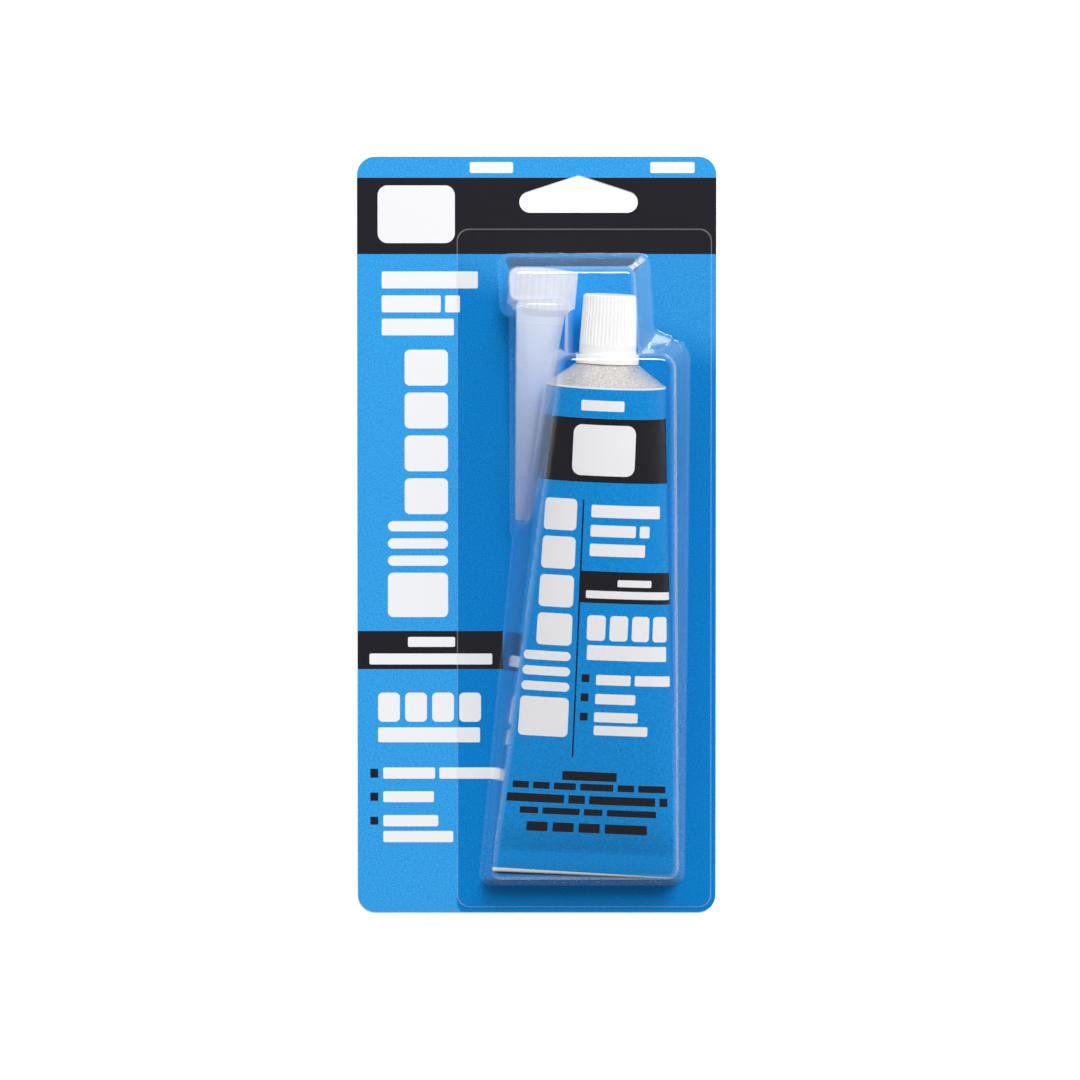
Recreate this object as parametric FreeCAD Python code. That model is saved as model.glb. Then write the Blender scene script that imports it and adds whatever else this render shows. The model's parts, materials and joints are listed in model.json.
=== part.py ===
"""Carded blister pack with a sealant squeeze tube, its screw cap and a loose nozzle.

The pack lies on the back of its card. +Z points out of the card, +Y to the hang
hole and +X to the right. The origin is the centre of the card's back. Millimetres.

Everything is first laid out round the middle of the tube's folded end, on the
front of the card. The pockets are formed round what they hold, the flange round
the pockets and the card round the flange, and the whole then moves to the origin.
"""

import math
import os
from collections import namedtuple

import FreeCAD
import Part

Vector = FreeCAD.Vector
X_AXIS = Vector(1, 0, 0)
Z_AXIS = Vector(0, 0, 1)

# Card
CARD_THICKNESS = 0.5
CARD_CORNER = 5.4
CARD_HEADER = 21.6
CARD_LEFT_PANEL = 29.9
CARD_RIGHT_EDGE = 1.3
CARD_FOOT_EDGE = 1.5

# Hang hole in the card's header, a low triangle with rounded ends
HANG_WIDTH = 35.6
HANG_END_RADIUS = 3.2
HANG_APEX_RADIUS = 2.0
HANG_SLOPE = 18.0
HANG_BELOW_TOP = 5.5
HANG_FROM_MIDDLE = 12.6

# Squeeze tube
TUBE_DIAMETER = 35.5
TUBE_LENGTH = 148.3
TUBE_LEAN = 2.4
TUBE_WIDENING = 1.15
TUBE_FULLNESS = 0.5
TUBE_SECTIONS = 25
TILT_FADES = 0.3
SHOULDER_HEIGHT = 6.3
SHOULDER_STEP = 0.25
SHOULDER_TOP_DIAMETER = 17.8
NECK_DIAMETER = 13.4
NECK_HEIGHT = 14.0
FLAT_THICKNESS = 0.7
FOLD_HEIGHT = 6.5
FOLD_THICKNESS = 1.4
FOLD_RISE_POWER = 12

# Screw cap
CAP_HEIGHT = 20.3
CAP_TOP_DIAMETER = 15.7
CAP_RIB_FOOT_DIAMETER = 16.9
CAP_FOOT_DIAMETER = 18.7
CAP_FOOT_HEIGHT = 2.7
CAP_COLLAR_HEIGHT = 2.8
CAP_GROOVE = 0.4
CAP_TOP_WALL = 1.8
CAP_TOP_ROUNDING = 0.3
CAP_RIBS = 44
CAP_RIB_DEPTH = 0.3
CAP_BORE_PLAY = 0.3

# One rib or flute, as shares of its pitch: up to the crest, along it, and down again
RIB_CREST_START = 0.2
RIB_CREST_END = 0.6
RIB_END = 0.8

# Loose extension nozzle
NOZZLE_LENGTH = 75.2
NOZZLE_TIP_DIAMETER = 4.3
NOZZLE_TIP_BORE = 2.4
NOZZLE_CONE_DIAMETER = 14.8
NOZZLE_WALL = 1.2
SKIRT_DIAMETER = 20.4
SKIRT_LENGTH = 10.4
SKIRT_TAPER = 2.4
SKIRT_FLUTES = 29
SKIRT_FLUTE_DEPTH = 0.45
FIRST_MARK = 2.0
MARK_PITCH = 11.7
MARK_COUNT = 5
MARK_WIDTH = 0.6
MARK_HEIGHT = 0.15
NOZZLE_LEAN = 5.1
NOZZLE_BEYOND_CAP = 7.1
NOZZLE_TO_TUBE = 0.6

# Clear formed film: one wall thickness, with pockets that taper as they rise
FILM = 0.4
FLANGE_SIDE = 6.8
FLANGE_HEAD = 8.0
FLANGE_FOOT = 7.2
FLANGE_CORNER = 3.6
POCKET_FILLET = 2.4
FOOT_FILLET = 1.0

# Tube pocket: how far its film stays from the tube, and how each wall leans
TUBE_PLAY_LEFT = 0.4
TUBE_PLAY_RIGHT = 4.3
TUBE_PLAY_ABOVE = 0.5
TUBE_PLAY_HEEL = 6.3
FOLD_PLAY_LEFT = 3.2
FOLD_PLAY_RIGHT = 1.5
FOLD_PLAY_BELOW = 1.0
TOE_HEIGHT = 13.5
WALL_DRAFT = 7.7
TUBE_LEFT_DRAFT = 13.0
TOE_DRAFT = 11.0
HEEL_DRAFT = 5.4
TUBE_POCKET_CORNERS = (4.0, 3.0, 3.6, 5.0)

# Head pocket round the cap and the nozzle's skirt
HEAD_PLAY_LEFT = 0.9
HEAD_PLAY_RIGHT = 1.1
HEAD_PLAY_TOP = 3.0
HEAD_PLAY_ABOVE = 2.4
HEAD_LEFT_DRAFT = 5.3
HEAD_DRAFT = 9.5
HEAD_LEFT_LEAN = 2.3
HEAD_RIGHT_LEAN = 3.4
HEAD_OVERLAP = 16.0
HEAD_TO_SKIRT = 3.2
HEAD_FLARE_OUT = 6.5
HEAD_FLARE_DROP = 2.2
HEAD_FLARE_ABOVE_HEEL = 1.0
HEAD_FLARE_DRAFT = 14.0
HEAD_CORNER = 3.0
HEAD_FLARE_CORNER = 4.0
HEAD_STEP_CORNER = 3.6

# Channel round the nozzle's cone
CHANNEL_PLAY = 0.3
CHANNEL_PLAY_ABOVE = 6.5
CHANNEL_PLAY_TIP = 5.0
CHANNEL_DRAFT = 4.0
CHANNEL_END_DRAFT = 30.0
CHANNEL_CORNER = 3.2
CHANNEL_OVERLAP = 8.0

# Small gap that keeps a resting piece from cutting into what carries it
SEAT = 0.05

# How far pieces of one solid run into each other, so that they join without a seam
JOIN = 0.5

# How far a point may be off a face and still count as on it
ON_FACE = 0.01

tube_radius = TUBE_DIAMETER / 2
fold_half_width = math.pi * tube_radius / 2
flat_end = FOLD_HEIGHT - JOIN


def tan(degrees):
    return math.tan(math.radians(degrees))


def sin(degrees):
    return math.sin(math.radians(degrees))


def cos(degrees):
    return math.cos(math.radians(degrees))


# Tube shape: share 0 is the shoulder ring and share 1 the flattened end.


def along_tube(share):
    return TUBE_LENGTH + (flat_end - TUBE_LENGTH) * share


def half_width(share):
    return tube_radius + (fold_half_width - tube_radius) * share**TUBE_WIDENING


def half_depth(share):
    filled = tube_radius * (1 - share) * (1 + TUBE_FULLNESS * share)
    return filled + FLAT_THICKNESS / 2 * share


def back_rise(share):
    """The back lies on the card until it rises into the middle of the folded end."""
    return SEAT + (FOLD_THICKNESS - FLAT_THICKNESS) / 2 * share**FOLD_RISE_POWER


# The filled tube is a wedge, so its neck looks up from the card by half the wedge's angle.
neck_tilt = math.degrees(math.atan((1 - TUBE_FULLNESS) * tube_radius / (TUBE_LENGTH - flat_end)))
ring_height = SEAT + tube_radius * cos(neck_tilt)


def on_tube(shape):
    """Lean the tube's own frame over on the card."""
    shape.rotate(Vector(), Z_AXIS, -TUBE_LEAN)
    return shape


def on_neck(shape, distance):
    """Put a shape built up +Z from its foot on the neck's axis, this far above the ring."""
    shape.translate(Vector(0, 0, distance))
    shape.rotate(Vector(), X_AXIS, neck_tilt - 90)
    shape.translate(Vector(0, TUBE_LENGTH, ring_height))
    return on_tube(shape)


def neck_point(distance):
    """Centre of the neck's axis this far above the ring, in the layout."""
    point = Vector(0, TUBE_LENGTH + distance * cos(neck_tilt), ring_height + distance * sin(neck_tilt))
    return FreeCAD.Rotation(Z_AXIS, -TUBE_LEAN).multVec(point)


def turned(points):
    """Solid of revolution about Z from (radius, height) points."""
    profile = Part.makePolygon([Vector(r, 0, z) for r, z in points + points[:1]])
    return Part.Face(profile).revolve(Vector(), Z_AXIS, 360)


def tube_section(share):
    """One oval section of the tube, tilted to the neck's plane at the ring."""
    tilt = neck_tilt * max(0, 1 - share / TILT_FADES)
    oval = FreeCAD.Matrix()
    oval.scale(half_width(share), half_depth(share), 1)
    section = Part.makeCircle(1).transformGeometry(oval)
    section.rotate(Vector(), X_AXIS, 90 + tilt)
    section.translate(Vector(0, along_tube(share), back_rise(share) + half_depth(share) * cos(tilt)))
    return Part.Wire(section.Edges)


def tube_body():
    sections = [tube_section(step / (TUBE_SECTIONS - 1)) for step in range(TUBE_SECTIONS)]
    body = Part.makeLoft(sections, True, True)
    return on_tube(body.fuse(folded_end())).fuse(shoulder_and_neck())


def folded_end():
    """The flattened end, turned over twice behind the tube and pressed flat."""
    bend = FOLD_THICKNESS / 2
    top = SEAT + FOLD_THICKNESS
    profile = [
        Part.LineSegment(Vector(0, FOLD_HEIGHT, SEAT), Vector(0, bend, SEAT)),
        Part.Arc(Vector(0, bend, SEAT), Vector(0, 0, SEAT + bend), Vector(0, bend, top)),
        Part.LineSegment(Vector(0, bend, top), Vector(0, FOLD_HEIGHT, top)),
        Part.LineSegment(Vector(0, FOLD_HEIGHT, top), Vector(0, FOLD_HEIGHT, SEAT)),
    ]
    face = Part.Face(Part.Wire([line.toShape() for line in profile]))
    half_width_at_fold = fold_half_width + SEAT
    face.translate(X_AXIS * -half_width_at_fold)
    return face.extrude(X_AXIS * 2 * half_width_at_fold)


def shoulder_and_neck():
    ring = tube_radius - SHOULDER_STEP
    profile = [
        (0, -JOIN),
        (ring, -JOIN),
        (ring, 0),
        (SHOULDER_TOP_DIAMETER / 2, SHOULDER_HEIGHT),
        (NECK_DIAMETER / 2, SHOULDER_HEIGHT),
        (NECK_DIAMETER / 2, SHOULDER_HEIGHT + NECK_HEIGHT),
        (0, SHOULDER_HEIGHT + NECK_HEIGHT),
    ]
    return on_neck(turned(profile), 0)


def prism(foot, top):
    """Solid with flat sides between two outlines that have as many corners each."""
    faces = [Part.Face(Part.makePolygon(ring + ring[:1])) for ring in (foot, top)]
    for index in range(len(foot)):
        following = (index + 1) % len(foot)
        side = [foot[index], foot[following], top[following], top[index], foot[index]]
        faces.append(Part.Face(Part.makePolygon(side)))
    return Part.Solid(Part.Shell(faces))


def ribbed(foot_radius, top_radius, height, ribs, depth):
    """Tapered round body with straight ribs, standing on Z = 0."""
    rib = ((0.0, depth), (RIB_CREST_START, 0.0), (RIB_CREST_END, 0.0), (RIB_END, depth))
    outline = []
    for step in range(ribs):
        for share, inset in rib:
            angle = 2 * math.pi * (step + share) / ribs
            reach_out = foot_radius - inset
            outline.append(Vector(reach_out * math.cos(angle), reach_out * math.sin(angle), 0))
    top = [point * (top_radius / foot_radius) + Z_AXIS * height for point in outline]
    return prism(outline, top)


cap_seat = SHOULDER_HEIGHT + SEAT


def screw_cap():
    """Ribbed cap with a plain collar and a wider foot, bored to go over the neck."""
    rib_foot = CAP_FOOT_HEIGHT + CAP_COLLAR_HEIGHT
    rib_length = CAP_HEIGHT - rib_foot - CAP_TOP_ROUNDING
    collar = CAP_RIB_FOOT_DIAMETER / 2
    foot = turned(
        [
            (0, 0),
            (CAP_FOOT_DIAMETER / 2, 0),
            (CAP_FOOT_DIAMETER / 2, CAP_FOOT_HEIGHT),
            (collar - CAP_GROOVE, CAP_FOOT_HEIGHT),
            (collar - CAP_GROOVE, CAP_FOOT_HEIGHT + CAP_GROOVE),
            (collar, CAP_FOOT_HEIGHT + CAP_GROOVE),
            (collar, rib_foot),
            (0, rib_foot),
        ]
    )
    grip = ribbed(collar, CAP_TOP_DIAMETER / 2, rib_length, CAP_RIBS, CAP_RIB_DEPTH)
    grip.translate(Z_AXIS * rib_foot)
    top_radius = CAP_TOP_DIAMETER / 2 - CAP_RIB_DEPTH
    crown = Part.makeCone(top_radius, top_radius - CAP_TOP_ROUNDING, CAP_TOP_ROUNDING)
    crown.translate(Z_AXIS * (rib_foot + rib_length))
    bore = Part.makeCylinder(NECK_DIAMETER / 2 + CAP_BORE_PLAY, CAP_HEIGHT - CAP_TOP_WALL)
    return on_neck(foot.fuse([grip, crown]).cut(bore), cap_seat)


# The nozzle lies on the edge of its skirt and on its tip.
nozzle_slope = math.degrees(
    math.atan((SKIRT_DIAMETER - NOZZLE_TIP_DIAMETER) / 2 / (NOZZLE_LENGTH - SKIRT_LENGTH))
)
cone_start = SKIRT_LENGTH + SKIRT_TAPER


def nozzle_radius(distance):
    """Outer radius of the nozzle this far from the open end of its skirt."""
    if distance <= SKIRT_LENGTH:
        return SKIRT_DIAMETER / 2
    share = max(0, distance - cone_start) / (NOZZLE_LENGTH - cone_start)
    return (NOZZLE_CONE_DIAMETER + (NOZZLE_TIP_DIAMETER - NOZZLE_CONE_DIAMETER) * share) / 2


def nozzle_height(distance):
    """Height of the nozzle's axis over the card, this far from the skirt's open end."""
    on_edge = SKIRT_DIAMETER / 2 * cos(nozzle_slope)
    return SEAT + on_edge + (SKIRT_LENGTH - distance) * sin(nozzle_slope)


def side_by_side(radius, height, other_radius, other_height, gap):
    """Distance across the card between two round pieces that lie at different heights."""
    apart = radius + other_radius + gap
    return math.sqrt(max(0, apart**2 - (height - other_height) ** 2))


def nozzle_end():
    """Centre of the skirt's open end in the layout, clear of the tube and the cap."""
    cap_top = neck_point(cap_seat + CAP_HEIGHT)
    ring = neck_point(0)
    end_y = cap_top.y + NOZZLE_BEYOND_CAP
    run = cos(nozzle_slope) * cos(NOZZLE_LEAN)
    to_ring = (end_y - ring.y) / run
    beside_ring = side_by_side(
        tube_radius, ring_height, nozzle_radius(to_ring), nozzle_height(to_ring), NOZZLE_TO_TUBE
    )
    beside_cap = side_by_side(
        CAP_FOOT_DIAMETER / 2, cap_top.z, SKIRT_DIAMETER / 2, nozzle_height(SKIRT_LENGTH), NOZZLE_TO_TUBE
    )
    lean_to_ring = (end_y - ring.y) * tan(NOZZLE_LEAN)
    end_x = min(ring.x - beside_ring + lean_to_ring, cap_top.x - beside_cap)
    return Vector(end_x, end_y, nozzle_height(0))


def nozzle_point(distance):
    """Centre of the nozzle's axis this far from the open end of its skirt, in the layout."""
    end = nozzle_end()
    run = distance * cos(nozzle_slope)
    return Vector(end.x - run * sin(NOZZLE_LEAN), end.y - run * cos(NOZZLE_LEAN), nozzle_height(distance))


def nozzle():
    """Hollow cone with cutting marks and a fluted skirt, open at both ends."""
    outside = [(0, SKIRT_LENGTH - JOIN), (SKIRT_DIAMETER / 2 - SKIRT_FLUTE_DEPTH, SKIRT_LENGTH - JOIN)]
    outside.append((SKIRT_DIAMETER / 2 - SKIRT_FLUTE_DEPTH, SKIRT_LENGTH))
    outside.append((nozzle_radius(cone_start), cone_start))
    for mark in range(MARK_COUNT):
        low = cone_start + FIRST_MARK + mark * MARK_PITCH
        crest = low + MARK_WIDTH / 2
        high = low + MARK_WIDTH
        outside.append((nozzle_radius(low), low))
        outside.append((nozzle_radius(crest) + MARK_HEIGHT, crest))
        outside.append((nozzle_radius(high), high))
    outside.append((nozzle_radius(NOZZLE_LENGTH), NOZZLE_LENGTH))
    outside.append((0, NOZZLE_LENGTH))
    skirt = ribbed(SKIRT_DIAMETER / 2, SKIRT_DIAMETER / 2, SKIRT_LENGTH, SKIRT_FLUTES, SKIRT_FLUTE_DEPTH)
    inner_cone = NOZZLE_CONE_DIAMETER / 2 - NOZZLE_WALL
    inside = turned(
        [
            (0, 0),
            (NECK_DIAMETER / 2 + CAP_BORE_PLAY, 0),
            (NECK_DIAMETER / 2 + CAP_BORE_PLAY, SKIRT_LENGTH),
            (inner_cone, cone_start),
            (NOZZLE_TIP_BORE / 2, NOZZLE_LENGTH),
            (0, NOZZLE_LENGTH),
        ]
    )
    shape = turned(outside).fuse(skirt).cut(inside)
    shape.rotate(Vector(), X_AXIS, 90 + nozzle_slope)
    shape.rotate(Vector(), Z_AXIS, -NOZZLE_LEAN)
    shape.translate(nozzle_end())
    return shape


# A pocket wall runs from start to end round the pocket, counter-clockwise, seen from
# the front. It leans inwards by its draft, and has the given corner radius at its start.
Wall = namedtuple("Wall", "start end draft corner")


def crossing(one, other):
    """Where two lines meet, each a pair of points."""
    (a, b), (c, d) = one, other
    run = b - a
    step = d - c
    share = ((c.x - a.x) * step.y - (c.y - a.y) * step.x) / (run.x * step.y - run.y * step.x)
    return a + run * share


def rounded(corners, radii, height=0):
    """Closed wire through the corners, each rounded off by its own radius."""
    starts = []
    ends = []
    edges = []
    for index, corner in enumerate(corners):
        back = (corners[index - 1] - corner).normalize()
        ahead = (corners[(index + 1) % len(corners)] - corner).normalize()
        half_angle = back.getAngle(ahead) / 2
        from_corner = radii[index] / math.tan(half_angle)
        inwards = (back + ahead).normalize()
        middle = corner + inwards * (radii[index] / math.sin(half_angle) - radii[index])
        starts.append(corner + back * from_corner)
        ends.append(corner + ahead * from_corner)
        edges.append(Part.Arc(starts[-1], middle, ends[-1]).toShape())
    for index, end in enumerate(ends):
        edges.append(Part.makeLine(end, starts[(index + 1) % len(starts)]))
    wire = Part.Wire(Part.__sortEdges__(edges))
    wire.translate(Z_AXIS * height)
    return wire


def pocket_corners(walls, height, shrink):
    """Corners of a pocket at this height over the card, moved in all round by shrink."""
    lines = []
    for one in walls:
        along = (one.end - one.start).normalize()
        inwards = Vector(-along.y, along.x, 0) * (height * tan(one.draft) + shrink)
        lines.append((one.start + inwards, one.end + inwards))
    return [crossing(lines[index - 1], line) + Z_AXIS * height for index, line in enumerate(lines)]


def nearest_edge(shape, one, other):
    """The shape's edge whose middle lies closest to the line between two points."""
    def distance(edge):
        middle = edge.CenterOfMass
        return middle.distanceToLine(one, other - one)

    return min(shape.Edges, key=distance)


def pocket(walls, low, high, shrink=0.0):
    """Solid form of a pocket, low and high being (y, height) points of its sloping face."""
    slope = (high[1] - low[1]) / (high[0] - low[0])

    def face_height(y):
        return high[1] + (y - high[0]) * slope - shrink

    tall = max(face_height(one.start.y) for one in walls) + JOIN
    foot = pocket_corners(walls, -2 * shrink, shrink)
    top = pocket_corners(walls, tall, shrink)
    form = prism(foot, top)
    box = form.BoundBox
    ends = (box.YMin - JOIN, box.YMax + JOIN)
    above = [(y, face_height(y)) for y in ends] + [(y, 2 * tall) for y in reversed(ends)]
    cut = Part.makePolygon([Vector(box.XMin - JOIN, y, z) for y, z in above + above[:1]])
    form = form.cut(Part.Face(cut).extrude(X_AXIS * (box.XLength + 2 * JOIN)))
    for index, one in enumerate(walls):
        edge = nearest_edge(form, foot[index], top[index])
        form = form.makeFillet(one.corner - shrink, [edge])

    def on_face(edge):
        return all(abs(vertex.Z - face_height(vertex.Y)) < ON_FACE for vertex in edge.Vertexes)

    return form.makeFillet(POCKET_FILLET - shrink, [edge for edge in form.Edges if on_face(edge)])


def reach(radius, height, draft, play):
    """How far a leaning wall's foot is from the axis of a round piece that it clears by play."""
    return (radius + FILM + play + height * sin(draft)) / cos(draft)


def walls_round(corners, drafts, radii):
    """The walls of a pocket, one from each corner to the next."""
    walls = []
    for index, corner in enumerate(corners):
        following = corners[(index + 1) % len(corners)]
        walls.append(Wall(corner, following, drafts[index], radii[index]))
    return walls


def tube_pocket_walls():
    ring = neck_point(0)
    left_of_ring = ring.x - reach(tube_radius, ring_height, TUBE_LEFT_DRAFT, TUBE_PLAY_LEFT)
    right_of_ring = ring.x + reach(tube_radius, ring_height, WALL_DRAFT, TUBE_PLAY_RIGHT)
    left = (Vector(left_of_ring, ring.y, 0), Vector(-fold_half_width - FILM - FOLD_PLAY_LEFT, 0, 0))
    right = (Vector(fold_half_width + FILM + FOLD_PLAY_RIGHT, 0, 0), Vector(right_of_ring, ring.y, 0))
    foot_y = -fold_half_width * sin(TUBE_LEAN) - FILM - FOLD_PLAY_BELOW
    heel_y = ring.y + SHOULDER_HEIGHT + TUBE_PLAY_HEEL
    foot = (Vector(left[1].x, foot_y, 0), Vector(right[0].x, foot_y, 0))
    heel = (Vector(right_of_ring, heel_y, 0), Vector(left_of_ring, heel_y, 0))
    heel_left = crossing(heel, left)
    foot_left = crossing(left, foot)
    foot_right = crossing(foot, right)
    heel_right = crossing(right, heel)
    corners = [heel_left, foot_left, foot_right, heel_right]
    drafts = [TUBE_LEFT_DRAFT, TOE_DRAFT, WALL_DRAFT, HEEL_DRAFT]
    return walls_round(corners, drafts, TUBE_POCKET_CORNERS)


def tube_pocket(shrink=0.0):
    """Pocket round the tube. Its face slopes down to the folded end, over the filled tube."""
    walls = tube_pocket_walls()
    foot_y = walls[1].start.y
    heel_y = walls[3].start.y
    heel_height = TOE_HEIGHT
    for step in range(TUBE_SECTIONS):
        share = step / (TUBE_SECTIONS - 1)
        top = back_rise(share) + 2 * half_depth(share) + FILM + TUBE_PLAY_ABOVE
        run = (along_tube(share) * cos(TUBE_LEAN) - foot_y) / (heel_y - foot_y)
        heel_height = max(heel_height, TOE_HEIGHT + (top - TOE_HEIGHT) / run)
    return pocket(walls, (foot_y, TOE_HEIGHT), (heel_y, heel_height), shrink)


def head_levels():
    """Y of the head pocket's top wall and of its step down to the nozzle's channel."""
    top = nozzle_point(0)
    top_y = top.y + FILM + HEAD_PLAY_TOP + top.z * tan(WALL_DRAFT)
    return top_y, nozzle_point(cone_start).y - FILM - SEAT


def head_left_x(y):
    skirt = nozzle_point(SKIRT_LENGTH / 2)
    at_skirt = skirt.x - reach(SKIRT_DIAMETER / 2, skirt.z, HEAD_LEFT_DRAFT, HEAD_PLAY_LEFT)
    return at_skirt - (y - skirt.y) * tan(HEAD_LEFT_LEAN)


def head_pocket(shrink=0.0):
    """Pocket round the cap and the nozzle's skirt, running into the other two pockets."""
    top_y, step_y = head_levels()
    cap_foot = neck_point(cap_seat)
    right_x = cap_foot.x + reach(CAP_FOOT_DIAMETER / 2, cap_foot.z, HEAD_DRAFT, HEAD_PLAY_RIGHT)
    heel = tube_pocket_walls()[3]
    flare_y = heel.start.y + HEAD_FLARE_DROP + HEAD_FLARE_ABOVE_HEEL
    inner_y = heel.start.y - HEAD_OVERLAP
    inner_x = nozzle_point(cone_start).x + nozzle_radius(cone_start) - HEAD_TO_SKIRT
    corners = [
        Vector(head_left_x(top_y), top_y, 0),
        Vector(head_left_x(step_y), step_y, 0),
        Vector(inner_x, step_y, 0),
        Vector(inner_x, inner_y, 0),
        Vector(right_x + HEAD_FLARE_OUT, inner_y, 0),
        Vector(right_x + HEAD_FLARE_OUT, flare_y - HEAD_FLARE_DROP, 0),
        Vector(right_x, flare_y, 0),
        Vector(right_x - (top_y - flare_y) * tan(HEAD_RIGHT_LEAN), top_y, 0),
    ]
    left_drafts = [HEAD_LEFT_DRAFT, WALL_DRAFT, WALL_DRAFT, 0.0]
    right_drafts = [WALL_DRAFT, HEAD_FLARE_DRAFT, HEAD_DRAFT, WALL_DRAFT]
    left_radii = [HEAD_CORNER, HEAD_CORNER, HEAD_STEP_CORNER, HEAD_CORNER]
    right_radii = [HEAD_CORNER, HEAD_CORNER, HEAD_FLARE_CORNER, HEAD_CORNER]
    walls = walls_round(corners, left_drafts + right_drafts, left_radii + right_radii)
    skirt_top = nozzle_height(0) + SKIRT_DIAMETER / 2
    cap_top = neck_point(cap_seat).z + CAP_FOOT_DIAMETER / 2
    height = max(skirt_top, cap_top) + FILM + HEAD_PLAY_ABOVE
    return pocket(walls, (inner_y, height), (top_y, height), shrink)


def channel_pocket(shrink=0.0):
    """Low channel over the nozzle's cone, its right side open to the tube pocket."""
    start = nozzle_point(cone_start)
    tip = nozzle_point(NOZZLE_LENGTH)
    sides = []
    for point, radius in ((start, nozzle_radius(cone_start)), (tip, nozzle_radius(NOZZLE_LENGTH))):
        left_x = point.x - reach(radius, point.z, CHANNEL_DRAFT, CHANNEL_PLAY)
        sides.append(Vector(left_x, point.y, 0))
    upper_y = head_levels()[1] + CHANNEL_OVERLAP
    tip_y = tip.y - NOZZLE_TIP_DIAMETER / 2 - FILM - CHANNEL_PLAY_TIP
    right_x = neck_point(0).x
    upper = (Vector(right_x, upper_y, 0), Vector(sides[0].x, upper_y, 0))
    lower = (Vector(sides[1].x, tip_y, 0), Vector(tip.x + SKIRT_DIAMETER, tip_y, 0))
    upper_left = crossing(upper, sides)
    lower_left = crossing(sides, lower)
    corners = [upper_left, lower_left, lower[1], upper[0]]
    drafts = [CHANNEL_DRAFT, CHANNEL_END_DRAFT, WALL_DRAFT, WALL_DRAFT]
    walls = walls_round(corners, drafts, [CHANNEL_CORNER] * len(corners))
    high = start.z + nozzle_radius(cone_start) + FILM + CHANNEL_PLAY_ABOVE
    low = tip.z + nozzle_radius(NOZZLE_LENGTH) + FILM + CHANNEL_PLAY_ABOVE
    return pocket(walls, (tip.y, low), (start.y, high), shrink)


def pockets(shrink=0.0):
    return tube_pocket(shrink).fuse([head_pocket(shrink), channel_pocket(shrink)])


Box = namedtuple("Box", "left right foot head")


def flange_box():
    walls = tube_pocket_walls()
    top_y = head_levels()[0]
    return Box(
        min(walls[1].start.x, head_left_x(top_y)) - FLANGE_SIDE,
        max(walls[1].end.x, walls[2].end.x) + FLANGE_SIDE,
        walls[1].start.y - FLANGE_FOOT,
        top_y + FLANGE_HEAD,
    )


def card_box():
    flange = flange_box()
    return Box(
        flange.left - CARD_LEFT_PANEL,
        flange.right + CARD_RIGHT_EDGE,
        flange.foot - CARD_FOOT_EDGE,
        flange.head + CARD_HEADER,
    )


def sheet(box, corner, thickness, low):
    """Flat sheet with rounded corners, its underside at this height."""
    corners = [
        Vector(box.left, box.foot, 0),
        Vector(box.right, box.foot, 0),
        Vector(box.right, box.head, 0),
        Vector(box.left, box.head, 0),
    ]
    return Part.Face(rounded(corners, [corner] * 4, low)).extrude(Z_AXIS * thickness)


def blister():
    """Clear film formed in one piece: three pockets that run together, and a flat flange."""
    box = flange_box()
    form = sheet(box, FLANGE_CORNER, FILM, 0).fuse(pockets()).removeSplitter()

    def at_pocket_foot(edge):
        on_flange = all(abs(vertex.Z - FILM) < ON_FACE for vertex in edge.Vertexes)
        middle = edge.CenterOfMass
        across = min(middle.x - box.left, box.right - middle.x)
        return on_flange and min(across, middle.y - box.foot, box.head - middle.y) > FLANGE_CORNER

    form = form.makeFillet(FOOT_FILLET, [edge for edge in form.Edges if at_pocket_foot(edge)])
    return form.cut(pockets(FILM))


def backing_card():
    box = card_box()
    card = sheet(box, CARD_CORNER, CARD_THICKNESS, -CARD_THICKNESS)
    half_base = HANG_WIDTH / 2 - HANG_END_RADIUS + HANG_END_RADIUS / tan(HANG_SLOPE / 2)
    rise = half_base * tan(HANG_SLOPE)
    middle_x = (box.left + box.right) / 2 + HANG_FROM_MIDDLE
    base_y = box.head - HANG_BELOW_TOP - rise
    corners = [
        Vector(middle_x - half_base, base_y, 0),
        Vector(middle_x + half_base, base_y, 0),
        Vector(middle_x, base_y + rise, 0),
    ]
    outline = rounded(corners, [HANG_END_RADIUS, HANG_END_RADIUS, HANG_APEX_RADIUS], -CARD_THICKNESS)
    return card.cut(Part.Face(outline).extrude(Z_AXIS * CARD_THICKNESS))


def main():
    os.makedirs("parts", exist_ok=True)
    box = card_box()
    to_origin = Vector(-(box.left + box.right) / 2, -(box.foot + box.head) / 2, CARD_THICKNESS)
    pieces = {
        "backing_card": backing_card(),
        "tube_body": tube_body(),
        "screw_cap": screw_cap(),
        "nozzle": nozzle(),
        "blister": blister(),
    }
    for name, shape in pieces.items():
        shape = shape.removeSplitter()
        shape.translate(to_origin)
        shape.exportStep(f"parts/{name}.step")
        print(name, shape.isValid(), len(shape.Solids), round(shape.Volume, 1), shape.BoundBox)


main()
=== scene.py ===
"""Looks of the carded blister pack: printed card and tube, clear film, cap and nozzle.

Lengths are in millimetres and become metres where a mesh is made. The lamp and the camera
are placed in metres. The print is laid out as plain fields, bars and blocks: on the card
in the card's own X and Y, on the tube in the unrolled skin, across from its front line
and up from its folded end.
"""

import json
import math
from collections import namedtuple

import bmesh
import bpy
from mathutils import Matrix, Vector

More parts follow.
